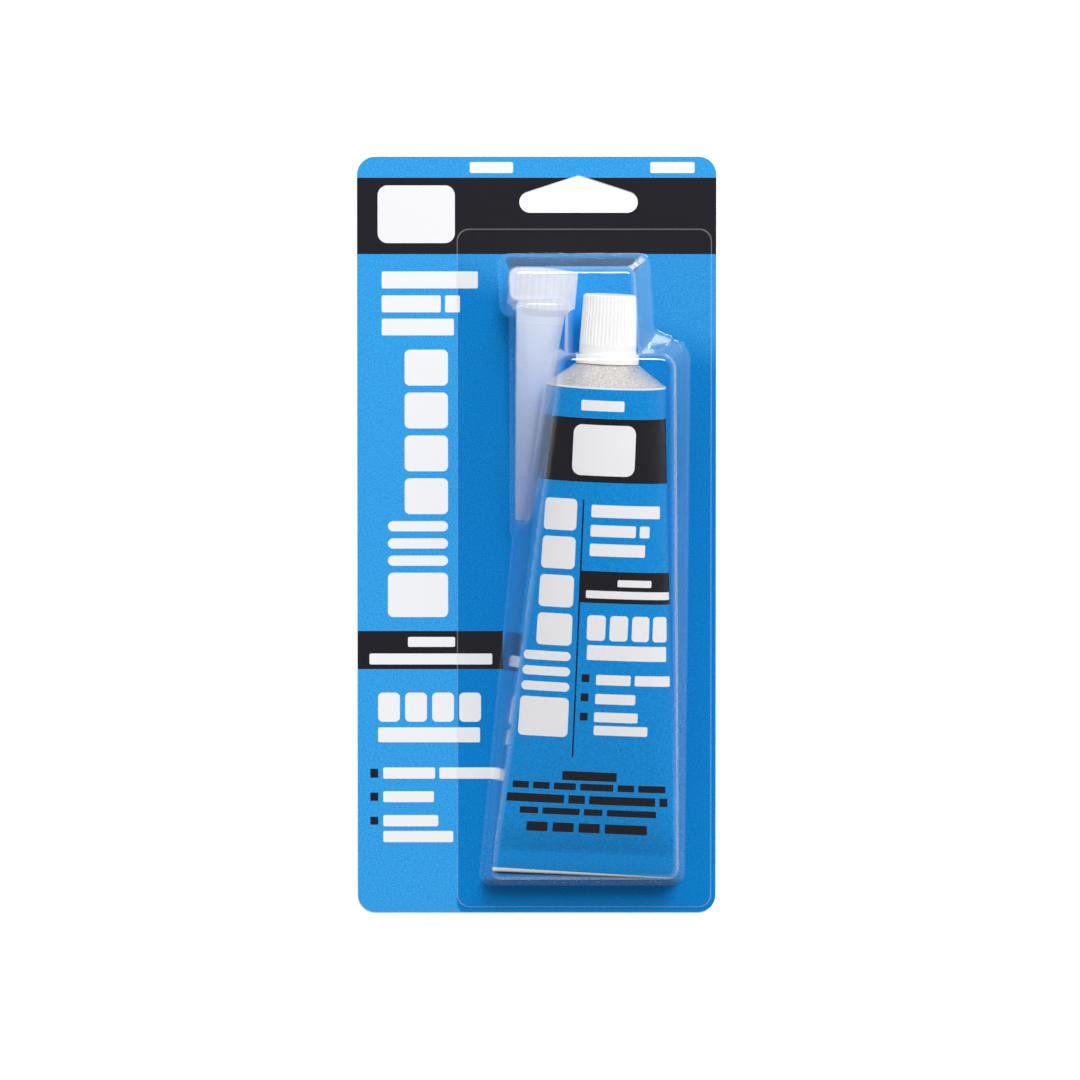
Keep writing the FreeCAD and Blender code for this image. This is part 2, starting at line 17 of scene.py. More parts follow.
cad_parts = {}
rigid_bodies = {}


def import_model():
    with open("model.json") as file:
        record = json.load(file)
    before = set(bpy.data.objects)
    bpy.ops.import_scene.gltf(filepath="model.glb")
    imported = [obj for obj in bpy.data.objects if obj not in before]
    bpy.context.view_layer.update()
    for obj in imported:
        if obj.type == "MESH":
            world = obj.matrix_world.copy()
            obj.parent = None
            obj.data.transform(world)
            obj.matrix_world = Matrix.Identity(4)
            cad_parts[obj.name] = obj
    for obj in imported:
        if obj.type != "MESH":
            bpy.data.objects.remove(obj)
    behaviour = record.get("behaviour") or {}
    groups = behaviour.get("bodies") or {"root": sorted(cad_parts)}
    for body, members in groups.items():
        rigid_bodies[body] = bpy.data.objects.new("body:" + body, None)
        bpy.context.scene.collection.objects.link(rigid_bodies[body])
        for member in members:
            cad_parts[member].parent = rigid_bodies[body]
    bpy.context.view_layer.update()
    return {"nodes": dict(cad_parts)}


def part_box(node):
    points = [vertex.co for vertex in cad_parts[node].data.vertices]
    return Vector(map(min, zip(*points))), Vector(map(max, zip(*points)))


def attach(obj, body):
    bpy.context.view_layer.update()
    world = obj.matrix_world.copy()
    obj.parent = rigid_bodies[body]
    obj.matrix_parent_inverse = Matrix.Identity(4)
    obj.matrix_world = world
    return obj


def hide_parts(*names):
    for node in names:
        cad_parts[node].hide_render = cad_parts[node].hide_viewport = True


# Nothing of the start scene stays
for leftover in list(bpy.data.objects):
    bpy.data.objects.remove(leftover)
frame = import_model()
nodes = frame["nodes"]

MM = 0.001

# Place and shape of the tube, as in the part's source
TUBE_END = Vector((14.486, -102.563, 0.5))
TUBE_LEAN = math.radians(2.4)
TUBE_RADIUS = 17.75
TUBE_LENGTH = 148.3
TUBE_WIDENING = 1.15
TUBE_FULLNESS = 0.5
TILT_FADES = 0.3
SEAT = 0.05
FLAT_THICKNESS = 0.7
FLAT_END = 6.0
FOLD_HEIGHT = 6.5
FOLD_THICKNESS = 1.4
FOLD_RISE_POWER = 12
RIM_HEIGHT = 0.42
RIM_RADIUS = 16.9
SHOULDER_HEIGHT = 6.3
SHOULDER_TOP_RADIUS = 8.9
NECK_RADIUS = 6.7
NECK_HEIGHT = 14.0
fold_half_width = math.pi * TUBE_RADIUS / 2
neck_tilt = math.atan((1 - TUBE_FULLNESS) * TUBE_RADIUS / (TUBE_LENGTH - FLAT_END))

# Place of the nozzle, from the open end of its skirt to its tip
NOZZLE_END = Vector((2.1, 79.6, 12.0))
NOZZLE_TIP = Vector((-4.5, 5.2, 2.7))


def ink(red, green, blue):
    """Linear colour of a printed or moulded surface, from its 0 to 255 value."""

    def linear(value):
        share = value / 255
        return share / 12.92 if share <= 0.04045 else ((share + 0.055) / 1.055) ** 2.4

    return (linear(red), linear(green), linear(blue), 1.0)


CARD_BLUE = ink(54, 162, 234)
# Darker blue of the print under the sealed film; it also lies on the pockets' floors as painted shade
SEALED_AND_SHADED_BLUE = ink(0, 132, 212)
TUBE_BLUE = ink(0, 142, 221)
PRINT_BLACK = ink(36, 35, 41)
TUBE_INK = ink(26, 25, 32)
PRINT_WHITE = ink(246, 246, 248)
TUBE_WHITE = ink(246, 245, 248)
BOARD = ink(214, 212, 206)
ALUMINIUM = ink(226, 221, 217)
BARE_EDGE = ink(240, 238, 232)
CAP_WHITE = ink(255, 255, 255)

# Fine grain of the printed screen and of the metal: the noise values between which it goes
# from dark to light, how close it is, and how strong
GRAIN_LEVELS = (0.3, 0.7)
PRINT_GRAIN = 2.1
CARD_GRAIN_STRENGTH = 0.42
TUBE_GRAIN_STRENGTH = 0.46
METAL_GRAIN = 1.4
METAL_GRAIN_STRENGTH = 0.4

# Clear film: what it reflects when looked at squarely, and what each surface lets through
FILM_SHINE = 0.045
FILM_SHINE_POWER = 4.5
FILM_CLEAR = (1.0, 1.0, 1.0, 1.0)
FILM_ROUGHNESS = 0.07
WALL_ROUGHNESS_ADDED = 0.03
FILM_OFF_CARD = 0.03

# What is left of the lamp's light behind the steep wall below the tube's folded end
FILM_SHADE = (0.03, 0.1, 0.16, 1.0)
SHADING_WALL_BELOW = -60.0
SHADING_WALL_TURN = (0.25, 0.6)

# Pale veil of the drawn film on steep walls: stronger near the card than at their top. It is
# stronger on walls that face right than on those that face left, as a painted reflection of
# the light on the right
HAZE = (0.72, 0.88, 1.0, 1.0)
HAZE_HIGH = 0.13
HAZE_LOW = 0.32
HAZE_FROM_TO = (30.0, 2.0)
HAZE_AND_SHEEN_SIDE_SHARE = 0.5
HAZE_PLAIN_SHARE = 0.55
WALL_STEEPNESS = (0.1, 0.8)

# Milky nozzle: how solid it looks at its skirt and at its tip, and where it changes
SOLID_AT_SKIRT = 0.88
SOLID_AT_TIP = 0.48
MILKY_FROM_TO = (5.0, 74.0)
MILK_AT_SKIRT = ink(243, 244, 248)
MILK_AT_TIP = ink(194, 214, 245)

# Millimetres of the tube's unrolled skin for one whole unit of its UV map
UV_SPAN = 100.0


class Graph:
    """A material's node tree, built with short calls."""

    def __init__(self, name):
        self.material = bpy.data.materials.new(name)
        self.material.use_nodes = True
        self.tree = self.material.node_tree
        self.shader = self.tree.nodes["Principled BSDF"]
        self.output = self.tree.nodes["Material Output"]

    def add(self, kind, *inputs, out=0, **settings):
        """One output of a new node, whose inputs are given in their order."""
        node = self.tree.nodes.new(kind)
        for name, value in settings.items():
            setattr(node, name, value)
        for socket, value in enumerate(inputs):
            self.set(node.inputs[socket], value)
        return node.outputs[out]

    def set(self, socket, value):
        """Link another node's output to the socket, or write a plain value into it."""
        if isinstance(value, bpy.types.NodeSocket):
            self.tree.links.new(value, socket)
        elif value is not None:
            socket.default_value = value

    def math(self, operation, *inputs):
        return self.add("ShaderNodeMath", *inputs, operation=operation)

    def vector(self, operation, *inputs, out=0):
        return self.add("ShaderNodeVectorMath", *inputs, operation=operation, out=out)

    def mix(self, share, one, other, blend="MIX"):
        node = self.tree.nodes.new("ShaderNodeMix")
        node.data_type = "RGBA"
        node.blend_type = blend
        self.set(node.inputs["Factor"], share)
        self.set(node.inputs["A"], one)
        self.set(node.inputs["B"], other)
        return node.outputs["Result"]

    def ramp(self, value, low, high):
        """0 where the value is low or less, 1 where it is high or more."""
        node = self.tree.nodes.new("ShaderNodeMapRange")
        self.set(node.inputs["Value"], value)
        node.inputs["From Min"].default_value = low
        node.inputs["From Max"].default_value = high
        return node.outputs["Result"]

    def place(self):
        """The point on the surface in millimetres, in the part's own axes."""
        coordinates = self.add("ShaderNodeTexCoord", out="Object")
        return self.vector("SCALE", coordinates, None, None, 1 / MM)


# One bar or block of print: its four sides and the radius of its corners
Plate = namedtuple("Plate", "left right foot head corner")


def plates_mask(graph, point, plates):
    """1 on any of the plates and 0 off them, for a point whose Z is 0."""
    total = None
    for plate in plates:
        middle = ((plate.left + plate.right) / 2, (plate.foot + plate.head) / 2, 0)
        corner = plate.corner
        flat_half = ((plate.right - plate.left) / 2 - corner, (plate.head - plate.foot) / 2 - corner, 0)
        off_middle = graph.vector("ABSOLUTE", graph.vector("SUBTRACT", point, middle))
        beyond = graph.vector("MAXIMUM", graph.vector("SUBTRACT", off_middle, flat_half), (0, 0, 0))
        distance = graph.vector("LENGTH", beyond, out="Value")
        inside = graph.math("LESS_THAN", distance, corner)
        total = inside if total is None else graph.math("MAXIMUM", total, inside)
    return total


def words(left, right, foot, head, parts=(1,), gap=1.3, corner=0.5):
    """A line of print as bars, one for each part, with the parts' shares of the width."""
    room = right - left - gap * (len(parts) - 1)
    plates = []
    start = left
    for part in parts:
        width = room * part / sum(parts)
        plates.append(Plate(start, start + width, foot, head, corner))
        start += width + gap
    return plates


# Of a heading's height, the share that its low blocks leave free
LOW_BLOCK_STARTS = 0.28


def upright_blocks(left, right, foot, head, shares, gap, corner, tall):
    """A large heading that runs upwards, as blocks with the shares of its length."""
    room = head - foot - gap * (len(shares) - 1)
    plates = []
    start = foot
    for index, share in enumerate(shares):
        length = room * share / sum(shares)
        block_left = left if index in tall else left + (right - left) * LOW_BLOCK_STARTS
        plates.append(Plate(block_left, right, start, start + length, corner))
        start += length + gap
    return plates


# The large heading's blocks from its foot up: their lengths, and which have its full height
HEADING_SHARES = (13, 3, 3, 3, 10.5, 10.5, 10.5, 10.5)
HEADING_TALL = (0, 1, 2, 3)

CARD_BLACK = [
    Plate(-70, 70, 84.6, 107.5, 0.05),
    Plate(-70, -10.2, -40.3, -28.8, 0.05),
    Plate(-50.2, -47.8, -73.1, -70.4, 0.05),
    Plate(-50.2, -47.8, -80.1, -77.6, 0.05),
    Plate(-50.2, -47.8, -87.3, -84.9, 0.05),
]
CARD_WHITE = (
    words(-20.1, -7.1, 108.9, 112.2)
    + words(34.1, 47.4, 108.9, 112.2)
    + words(-46.6, -17.7, 74.3, 79.4)
    + words(-46.6, -23.1, 67.1, 72.2, (4, 1))
    + words(-46.6, -24.9, 60.2, 65.2)
    + upright_blocks(-44.8, -26.7, -24.6, 55.9, HEADING_SHARES, 2.1, 1.6, HEADING_TALL)
    + words(-38.8, -24.6, -33.6, -30.6)
    + words(-50.4, -13.4, -38.9, -35.6)
    + words(-47.8, -16.8, -56.2, -47.4, (3, 3, 3, 3), 1.6, 1.4)
    + words(-47.8, -17.1, -62.4, -57.9)
    + words(-46.3, -11.1, -73.4, -70.0, (6, 7))
    + words(-46.3, -31.0, -80.5, -77.2)
    + words(-46.3, -29.7, -87.8, -84.4)
    + words(-46.3, -25.2, -92.6, -89.2)
    + [Plate(-47.8, -24.6, 87.9, 105.2, 3.0)]
)

TUBE_BLACK = [
    Plate(-70, 70, 119.6, 138.9, 0.05),
    Plate(-5.3, 40.0, 83.4, 92.9, 0.05),
    Plate(-5.75, -5.25, 36.3, 114.3, 0.05),
    Plate(-3.8, -1.4, 59.4, 61.8, 0.05),
    Plate(-3.8, -1.4, 53.6, 56.0, 0.05),
    Plate(-3.8, -1.4, 47.7, 50.1, 0.05),
    *words(-8.4, 8.5, 29.2, 32.0, corner=0.3),
    *words(-23.7, 23.9, 26.2, 28.3, (3, 3, 4, 6, 3, 5), corner=0.3),
    *words(-25.2, 24.5, 22.0, 24.6, (7, 2, 8, 1), corner=0.3),
    *words(-20.7, 20.9, 18.5, 20.5, (3, 6, 3, 8), corner=0.3),
    *words(-18.2, 18.1, 13.1, 16.0, (2, 2, 2, 4), 1.5, 0.3),
]
TUBE_WHITE_PLATES = (
    words(-7.5, 5.5, 141.2, 144.4)
    + [Plate(-9.6, 9.6, 121.6, 137.0, 2.8)]
    + upright_blocks(-23.2, -7.4, 42.4, 114.3, HEADING_SHARES, 1.9, 1.5, HEADING_TALL)
    + words(-3.0, 20.0, 109.0, 112.8)
    + words(-3.0, 15.7, 103.2, 106.7, (4, 1))
    + words(-3.0, 14.3, 97.4, 101.1)
    + words(5.9, 17.0, 88.4, 90.5, corner=0.4)
    + words(-3.6, 26.0, 84.8, 87.1, corner=0.4)
    + words(-2.8, 23.7, 72.1, 79.7, (3, 3, 3, 3), 1.3, 1.1)
    + words(-2.5, 23.5, 66.2, 70.7)
    + words(0.7, 25.3, 58.7, 61.8, (6, 7))
    + words(0.7, 13.2, 52.9, 56.0)
    + words(0.6, 14.2, 47.4, 50.4)
    + words(0.7, 17.5, 43.4, 46.3)
)


def mottled(graph, point, color, fineness, strength):
    """The colour with a fine grain over it, a little lighter and darker."""
    grain = graph.tree.nodes.new("ShaderNodeTexNoise")
    graph.set(grain.inputs["Vector"], point)
    grain.inputs["Scale"].default_value = fineness
    grain.inputs["Detail"].default_value = 2.0
    level = graph.ramp(grain.outputs["Fac"], *GRAIN_LEVELS)
    spread = graph.math("MULTIPLY_ADD", level, strength, 1 - strength / 2)
    return graph.mix(1.0, color, graph.add("ShaderNodeCombineColor", spread, spread, spread), "MULTIPLY")


def flat_point(graph, point):
    """The same point with its Z set to 0."""
    return graph.vector("MULTIPLY", point, (1, 1, 0))


def aluminium_material():
    """Bare aluminium with a fine uneven grain."""
    graph = Graph("bare_aluminium")
    color = mottled(graph, graph.place(), ALUMINIUM, METAL_GRAIN, METAL_GRAIN_STRENGTH)
    graph.set(graph.shader.inputs["Base Color"], color)
    graph.shader.inputs["Roughness"].default_value = 0.35
    graph.shader.inputs["Metallic"].default_value = 0.75
    return graph.material


def separate(graph, point):
    """The point's X, Y and Z."""
    parts = graph.add("ShaderNodeSeparateXYZ", point).node.outputs
    return parts["X"], parts["Y"], parts["Z"]


# The film's flange on the card. Where it is sealed down the print is darker. The same darker
# blue also covers the pockets' floors, where the card is not sealed, as painted shade, and runs
# on out to the card's near edges. Towards the head the print turns brighter, more so to the
# right: partly the film lying looser there, partly painted light from the lamp's side.
FLANGE = Plate(-24.05, 52.65, -112.33, 92.23, 3.6)
DARKENED = FLANGE._replace(right=54.5, foot=-114.5)
LOOSE_AND_LIT_BLUE = ink(50, 158, 232)
LOOSE_AND_LIT_LEAN = 0.32
LOOSE_AND_LIT_FROM_TO = (66.0, 78.0)

# The flange's cut edge shows as a faint pale line: a painted highlight of light caught by the edge,
# drawn in white on the print
RIM_HIGHLIGHT_WIDTH = 0.35
RIM_HIGHLIGHT_STRENGTH = 0.15

# The card is printed from this height up, and below it is plain board
FRONT_ABOVE = 0.45


def card_material():
    """Printed board: plain behind; in front darker under the film, with painted shade on the pockets'
    floors and painted light towards the head.
    """
    graph = Graph("printed_card")
    point = graph.place()
    flat = flat_point(graph, point)
    across, along, height = separate(graph, point)
    # Painted light: the print brightens towards the head and the right, the lamp's side, as well as
    # where the film lies looser
    loose_and_lit = graph.ramp(graph.math("MULTIPLY_ADD", across, LOOSE_AND_LIT_LEAN, along), *LOOSE_AND_LIT_FROM_TO)
    under_film = graph.mix(loose_and_lit, SEALED_AND_SHADED_BLUE, LOOSE_AND_LIT_BLUE)
    # Painted shade: the darker blue covers the whole film field, the unsealed pockets' floors too
    blue = graph.mix(plates_mask(graph, flat, [DARKENED]), CARD_BLUE, under_film)
    blue = mottled(graph, point, blue, PRINT_GRAIN, CARD_GRAIN_STRENGTH)
    color = graph.mix(plates_mask(graph, flat, CARD_BLACK), blue, PRINT_BLACK)
    color = graph.mix(plates_mask(graph, flat, CARD_WHITE), color, PRINT_WHITE)
    inner = FLANGE._replace(
        left=FLANGE.left + RIM_HIGHLIGHT_WIDTH, right=FLANGE.right - RIM_HIGHLIGHT_WIDTH, foot=FLANGE.foot + RIM_HIGHLIGHT_WIDTH, head=FLANGE.head - RIM_HIGHLIGHT_WIDTH
    )
    # Painted highlight: a thin pale band just inside the flange's edge
    rim = graph.math("SUBTRACT", plates_mask(graph, flat, [FLANGE]), plates_mask(graph, flat, [inner]))
    color = graph.mix(graph.math("MULTIPLY", rim, RIM_HIGHLIGHT_STRENGTH), color, PRINT_WHITE)
    front = graph.math("GREATER_THAN", height, FRONT_ABOVE)
    graph.set(graph.shader.inputs["Base Color"], graph.mix(front, BOARD, color))
    graph.shader.inputs["Roughness"].default_value = 0.55
    graph.shader.inputs["Specular IOR Level"].default_value = 0.05
    return graph.material


# Bare metal that shows at the tube's ends: past the print's foot, which leans a little, and
# at its ring
BARE_FOOT = 0.9
BARE_FOOT_LEAN = -0.018
BARE_RING = 0.5


def tube_print_material():
    """Printed skin of the tube, laid out on its unrolled length and girth."""
    graph = Graph("printed_tube")
    unrolled = graph.add("ShaderNodeUVMap", uv_map="print")
    point = graph.vector("SCALE", unrolled, None, None, UV_SPAN)
    across, along, _ = separate(graph, point)
    blue = mottled(graph, graph.place(), TUBE_BLUE, PRINT_GRAIN, TUBE_GRAIN_STRENGTH)
    color = graph.mix(plates_mask(graph, point, TUBE_BLACK), blue, TUBE_INK)
    color = graph.mix(plates_mask(graph, point, TUBE_WHITE_PLATES), color, TUBE_WHITE)
    foot_edge = graph.math("MULTIPLY_ADD", across, BARE_FOOT_LEAN, BARE_FOOT)
    bare_foot = graph.math("LESS_THAN", along, foot_edge)
    bare_head = graph.math("GREATER_THAN", along, TUBE_LENGTH - BARE_RING)
    bare = graph.math("MAXIMUM", bare_foot, bare_head)
    graph.set(graph.shader.inputs["Base Color"], graph.mix(bare, color, BARE_EDGE))
    graph.shader.inputs["Roughness"].default_value = 0.42
    graph.shader.inputs["Specular IOR Level"].default_value = 0.08
    return graph.material


def plain_material(name, color, roughness):
    """One colour all over."""
    graph = Graph(name)
    graph.shader.inputs["Base Color"].default_value = color
    graph.shader.inputs["Roughness"].default_value = roughness
    return graph.material


def clear_film_material():
    """Thin clear film: lets light through, shines at a flat angle and has a pale veil on walls, stronger
    on right-facing walls as painted reflection.
    """
    graph = Graph("clear_film")
    _, along, height = separate(graph, graph.place())
    sideways, facing_along, facing_up = separate(graph, graph.add("ShaderNodeTexCoord", out="Normal"))
    path = graph.tree.nodes.new("ShaderNodeLightPath").outputs
    lit_through = graph.math("MAXIMUM", path["Is Shadow Ray"], path["Is Diffuse Ray"])
    looked_at = graph.math("SUBTRACT", 1.0, lit_through)
    at_toe = graph.math("LESS_THAN", along, SHADING_WALL_BELOW)
    end_wall = graph.ramp(graph.math("ABSOLUTE", facing_along), *SHADING_WALL_TURN)
    shaded = graph.math("MULTIPLY", graph.math("MULTIPLY", lit_through, at_toe), end_wall)
    clear = graph.add("ShaderNodeBsdfTransparent", graph.mix(shaded, FILM_CLEAR, FILM_SHADE))
    steepness = graph.math("SUBTRACT", 1.0, graph.math("ABSOLUTE", facing_up))
    wall = graph.ramp(steepness, *WALL_STEEPNESS)
    depth = graph.ramp(height, *HAZE_FROM_TO)
    veil = graph.math("MULTIPLY_ADD", depth, HAZE_LOW - HAZE_HIGH, HAZE_HIGH)
    # Painted reflection: walls that face right get more veil and look lighter
    right_sheen = graph.math("MULTIPLY_ADD", sideways, HAZE_AND_SHEEN_SIDE_SHARE, HAZE_PLAIN_SHARE)
    veil = graph.math("MULTIPLY", veil, right_sheen)
    veil = graph.math("MULTIPLY", graph.math("MULTIPLY", wall, veil), looked_at)
    from_front = graph.add("ShaderNodeBsdfDiffuse", HAZE)
    from_behind = graph.add("ShaderNodeBsdfTranslucent", HAZE)
    haze = graph.add("ShaderNodeMixShader", 0.5, from_front, from_behind)
    veiled = graph.add("ShaderNodeMixShader", veil, clear, haze)
    facing = graph.add("ShaderNodeLayerWeight", 0.5, out="Facing")
    grazing = graph.math("POWER", facing, FILM_SHINE_POWER)
    share = graph.math("MULTIPLY_ADD", grazing, 1 - FILM_SHINE, FILM_SHINE)
    roughness = graph.math("MULTIPLY_ADD", wall, WALL_ROUGHNESS_ADDED, FILM_ROUGHNESS)
    shine = graph.add("ShaderNodeBsdfGlossy", (1.0, 1.0, 1.0, 1.0), roughness)
    mixed = graph.add("ShaderNodeMixShader", graph.math("MULTIPLY", share, looked_at), veiled, shine)
    graph.set(graph.output.inputs["Surface"], mixed)
    graph.tree.nodes.remove(graph.shader)
    return graph.material


def nozzle_material():
    """Milky plastic that lets more of what is behind it through towards its thin tip."""
    graph = Graph("milky_plastic")
    axis = (NOZZLE_TIP - NOZZLE_END).normalized()
    point = graph.vector("SUBTRACT", graph.place(), NOZZLE_END)
    along = graph.vector("DOT_PRODUCT", point, axis, out="Value")
    towards_tip = graph.ramp(along, *MILKY_FROM_TO)
    solid = graph.math("MULTIPLY_ADD", towards_tip, SOLID_AT_TIP - SOLID_AT_SKIRT, SOLID_AT_SKIRT)
    milk = graph.mix(towards_tip, MILK_AT_SKIRT, MILK_AT_TIP)
    graph.set(graph.shader.inputs["Base Color"], milk)
    graph.shader.inputs["Roughness"].default_value = 0.4
    through = graph.add("ShaderNodeBsdfTranslucent", milk)
    milky = graph.add("ShaderNodeMixShader", 0.5, graph.shader.outputs[0], through)
    clear = graph.add("ShaderNodeBsdfTransparent", (0.99, 1.0, 1.0, 1.0))
    lit_through = graph.add("ShaderNodeLightPath", out="Is Shadow Ray")
    solid = graph.math("MULTIPLY", solid, graph.math("SUBTRACT", 1.0, lit_through))
    mixed = graph.add("ShaderNodeMixShader", solid, clear, milky)
    graph.set(graph.output.inputs["Surface"], mixed)
    return graph.material


# Rows of the tube's skin: round the bend of its fold, then close together over the fold's
# step, then evenly up to just below the ring
BEND_ANGLES = (12, 30, 50, 70, 90)
STEP_HEIGHTS = (2.5, 4.5, FOLD_HEIGHT - 0.1, FOLD_HEIGHT + 0.1, 7.5, 8.5, 10, 12, 14, 17, 20)
EVEN_ROWS = 60
BELOW_RING = 0.3

# The skin's oval is round at the ring and boxy at the fold, up to this height above it
ROUND = 2
BOXINESS = 5
BOXY_HEIGHT = 26
BOXY_POWER = 3

# How much of the fold's rounding its two corners share
BEND_CORNER = 0.3

# Rolled rim round the shoulder, as radius and distance beyond the ring, and the shoulder
RIM_PROFILE = ((17.66, 0.0), (17.45, 0.12), (17.2, 0.2), (RIM_RADIUS, RIM_HEIGHT))
SHOULDER_ROWS = 8
SKIN_COLUMNS = 144


def superellipse(half_width, half_depth, squareness, columns):
    """Closed oval round the tube, from its back round the left side, as (x, z) points."""
    points = []
    for column in range(columns):
        angle = 2 * math.pi * column / columns - math.pi
        side = math.sin(angle)
        front = math.cos(angle)
        x = half_width * math.copysign(abs(side) ** (2 / squareness), side)
        z = half_depth * math.copysign(abs(front) ** (2 / squareness), front)
        points.append((x, z))
    return points


def tube_rows(columns):
    """Rows of points round the tube from its folded end to the neck, with their height."""
    rows = []
    bend = FOLD_THICKNESS / 2
    heights = [bend * (1 - math.cos(math.radians(angle))) for angle in BEND_ANGLES]
    heights += STEP_HEIGHTS
    start = STEP_HEIGHTS[-1]
    pitch = (TUBE_LENGTH - BELOW_RING - start) / EVEN_ROWS
    heights += [start + row * pitch for row in range(1, EVEN_ROWS + 1)]
    for height in heights:
        share = max(0.0, min(1.0, (TUBE_LENGTH - height) / (TUBE_LENGTH - FLAT_END)))
        half_width = TUBE_RADIUS + (fold_half_width - TUBE_RADIUS) * share**TUBE_WIDENING
        filled = TUBE_RADIUS * (1 - share) * (1 + TUBE_FULLNESS * share)
        half_depth = filled + FLAT_THICKNESS / 2 * share
        back = SEAT + (FOLD_THICKNESS - FLAT_THICKNESS) / 2 * share**FOLD_RISE_POWER
        front = max(back + 2 * half_depth, SEAT + FOLD_THICKNESS)
        if height < FOLD_HEIGHT:
            back = SEAT
        if height < bend:
            round_off = math.sqrt(bend**2 - (bend - height) ** 2)
            back = SEAT + bend - round_off
            front = SEAT + bend + round_off
            half_width -= (bend - round_off) * BEND_CORNER
        above_fold = max(0.0, height - FOLD_HEIGHT)
        boxy = max(0.0, 1 - above_fold / BOXY_HEIGHT) ** BOXY_POWER
        squareness = ROUND + BOXINESS * boxy
        half_depth = (front - back) / 2
        tilt = neck_tilt * max(0.0, 1 - share / TILT_FADES)
        middle = back + half_depth * math.cos(tilt)
        points = []
        for x, z in superellipse(half_width, half_depth, squareness, columns):
            points.append(Vector((x, height - z * math.sin(tilt), middle + z * math.cos(tilt))))
        rows.append((height, points))
    return rows


def neck_rows(columns):
    """Rows round the rim, the shoulder and the neck, out along the neck's tilted axis."""
    profile = list(RIM_PROFILE)
    for step in range(1, SHOULDER_ROWS + 1):
        share = step / SHOULDER_ROWS
        radius = RIM_RADIUS + (SHOULDER_TOP_RADIUS - RIM_RADIUS) * share
        profile.append((radius, RIM_HEIGHT + (SHOULDER_HEIGHT - RIM_HEIGHT) * share))
    profile += [(NECK_RADIUS, SHOULDER_HEIGHT), (NECK_RADIUS, SHOULDER_HEIGHT + NECK_HEIGHT)]
    ring_height = SEAT + TUBE_RADIUS * math.cos(neck_tilt)
    sine = math.sin(neck_tilt)
    cosine = math.cos(neck_tilt)
    rows = []
    for radius, distance in profile:
        points = []
        for x, z in superellipse(radius, radius, ROUND, columns):
            y = TUBE_LENGTH + distance * cosine - z * sine
            points.append(Vector((x, y, ring_height + distance * sine + z * cosine)))
        rows.append((TUBE_LENGTH + distance, points))
    return rows


def girth_places(points):
    """How far each point of a row, and its first again, lies from the front line."""
    ring = points + points[:1]
    lengths = [0.0]
    for one, other in zip(ring, ring[1:]):
        lengths.append(lengths[-1] + (other - one).length)
    return [(length / lengths[-1] - 0.5) * 2 * math.pi * TUBE_RADIUS for length in lengths]


def new_object(name, data):
    """An object of a mesh, lamp or camera, in the scene."""
    thing = bpy.data.objects.new(name, data)
    bpy.context.scene.collection.objects.link(thing)
    return thing


def tube_piece(columns=SKIN_COLUMNS):
    """The tube's printed skin, rim, bare shoulder and neck as one closed mesh."""
    printed_rows = tube_rows(columns)
    rows = printed_rows + neck_rows(columns)
    lean = Matrix.Rotation(-TUBE_LEAN, 4, "Z")
    vertices = [(lean @ point + TUBE_END) * MM for _, points in rows for point in points]
    faces = []
    unrolled = []
    metal = []
    for row in range(len(rows) - 1):
        low, low_points = rows[row]
        high, high_points = rows[row + 1]
        low_places = girth_places(low_points)
        high_places = girth_places(high_points)
        start = row * columns
        above = start + columns
        for column in range(columns):
            after = (column + 1) % columns
            faces.append((start + column, start + after, above + after, above + column))
            unrolled += [(low_places[column], low), (low_places[column + 1], low)]
            unrolled += [(high_places[column + 1], high), (high_places[column], high)]
            metal.append(row >= len(printed_rows))
    # One face closes the fold's end and another the neck
    for ring_start, turn in ((0, -1), ((len(rows) - 1) * columns, 1)):
        ring = [ring_start + column for column in range(columns)][::turn]
        faces.append(tuple(ring))
        unrolled += [(0.0, 0.0 if turn < 0 else TUBE_LENGTH + SHOULDER_HEIGHT)] * columns
        metal.append(turn > 0)
    mesh = bpy.data.meshes.new("tube_skin")
    mesh.from_pydata(vertices, [], faces)
    layer = mesh.uv_layers.new(name="print")
    for loop, (across, along) in enumerate(unrolled):
        layer.data[loop].uv = (across / UV_SPAN, along / UV_SPAN)
    mesh.materials.append(tube_print_material())
    mesh.materials.append(aluminium_material())
    for polygon, bare in zip(mesh.polygons, metal):
        polygon.material_index = int(bare)
        polygon.use_smooth = True
    return new_object("tube_skin", mesh)


# Points of a CAD mesh nearer than this are one, and faces that turn less than this join
SAME_POINT = 0.005
SAME_PLANE = math.radians(1)


def smooth_copy(node, name, material, sharp_angle):
    """A copy of a CAD node that shades smoothly except at edges sharper than the angle."""
    shape = bmesh.new()
    shape.from_mesh(nodes[node].data)
    bmesh.ops.remove_doubles(shape, verts=shape.verts, dist=SAME_POINT * MM)
    bmesh.ops.dissolve_limit(shape, angle_limit=SAME_PLANE, verts=shape.verts, edges=shape.edges)
    for face in shape.faces:
        face.smooth = True
    for edge in shape.edges:
        edge.smooth = edge.is_manifold and edge.calc_face_angle() < math.radians(sharp_angle)
    mesh = bpy.data.meshes.new(name)
    shape.to_mesh(mesh)
    shape.free()
    mesh.materials.append(material)
    piece = new_object(name, mesh)
    even = piece.modifiers.new("even_shading", "WEIGHTED_NORMAL")
    even.keep_sharp = True
    even.weight = 100
    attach(piece, "root")
    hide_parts(node)
    return piece


tube = tube_piece()
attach(tube, "root")
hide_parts("tube_body")

nodes["backing_card"].data.materials.clear()
nodes["backing_card"].data.materials.append(card_material())
film = smooth_copy("blister", "film", clear_film_material(), sharp_angle=28)
smooth_copy("screw_cap", "cap", plain_material("white_cap", CAP_WHITE, 0.4), sharp_angle=25)
smooth_copy("nozzle", "loose_nozzle", nozzle_material(), sharp_angle=35)

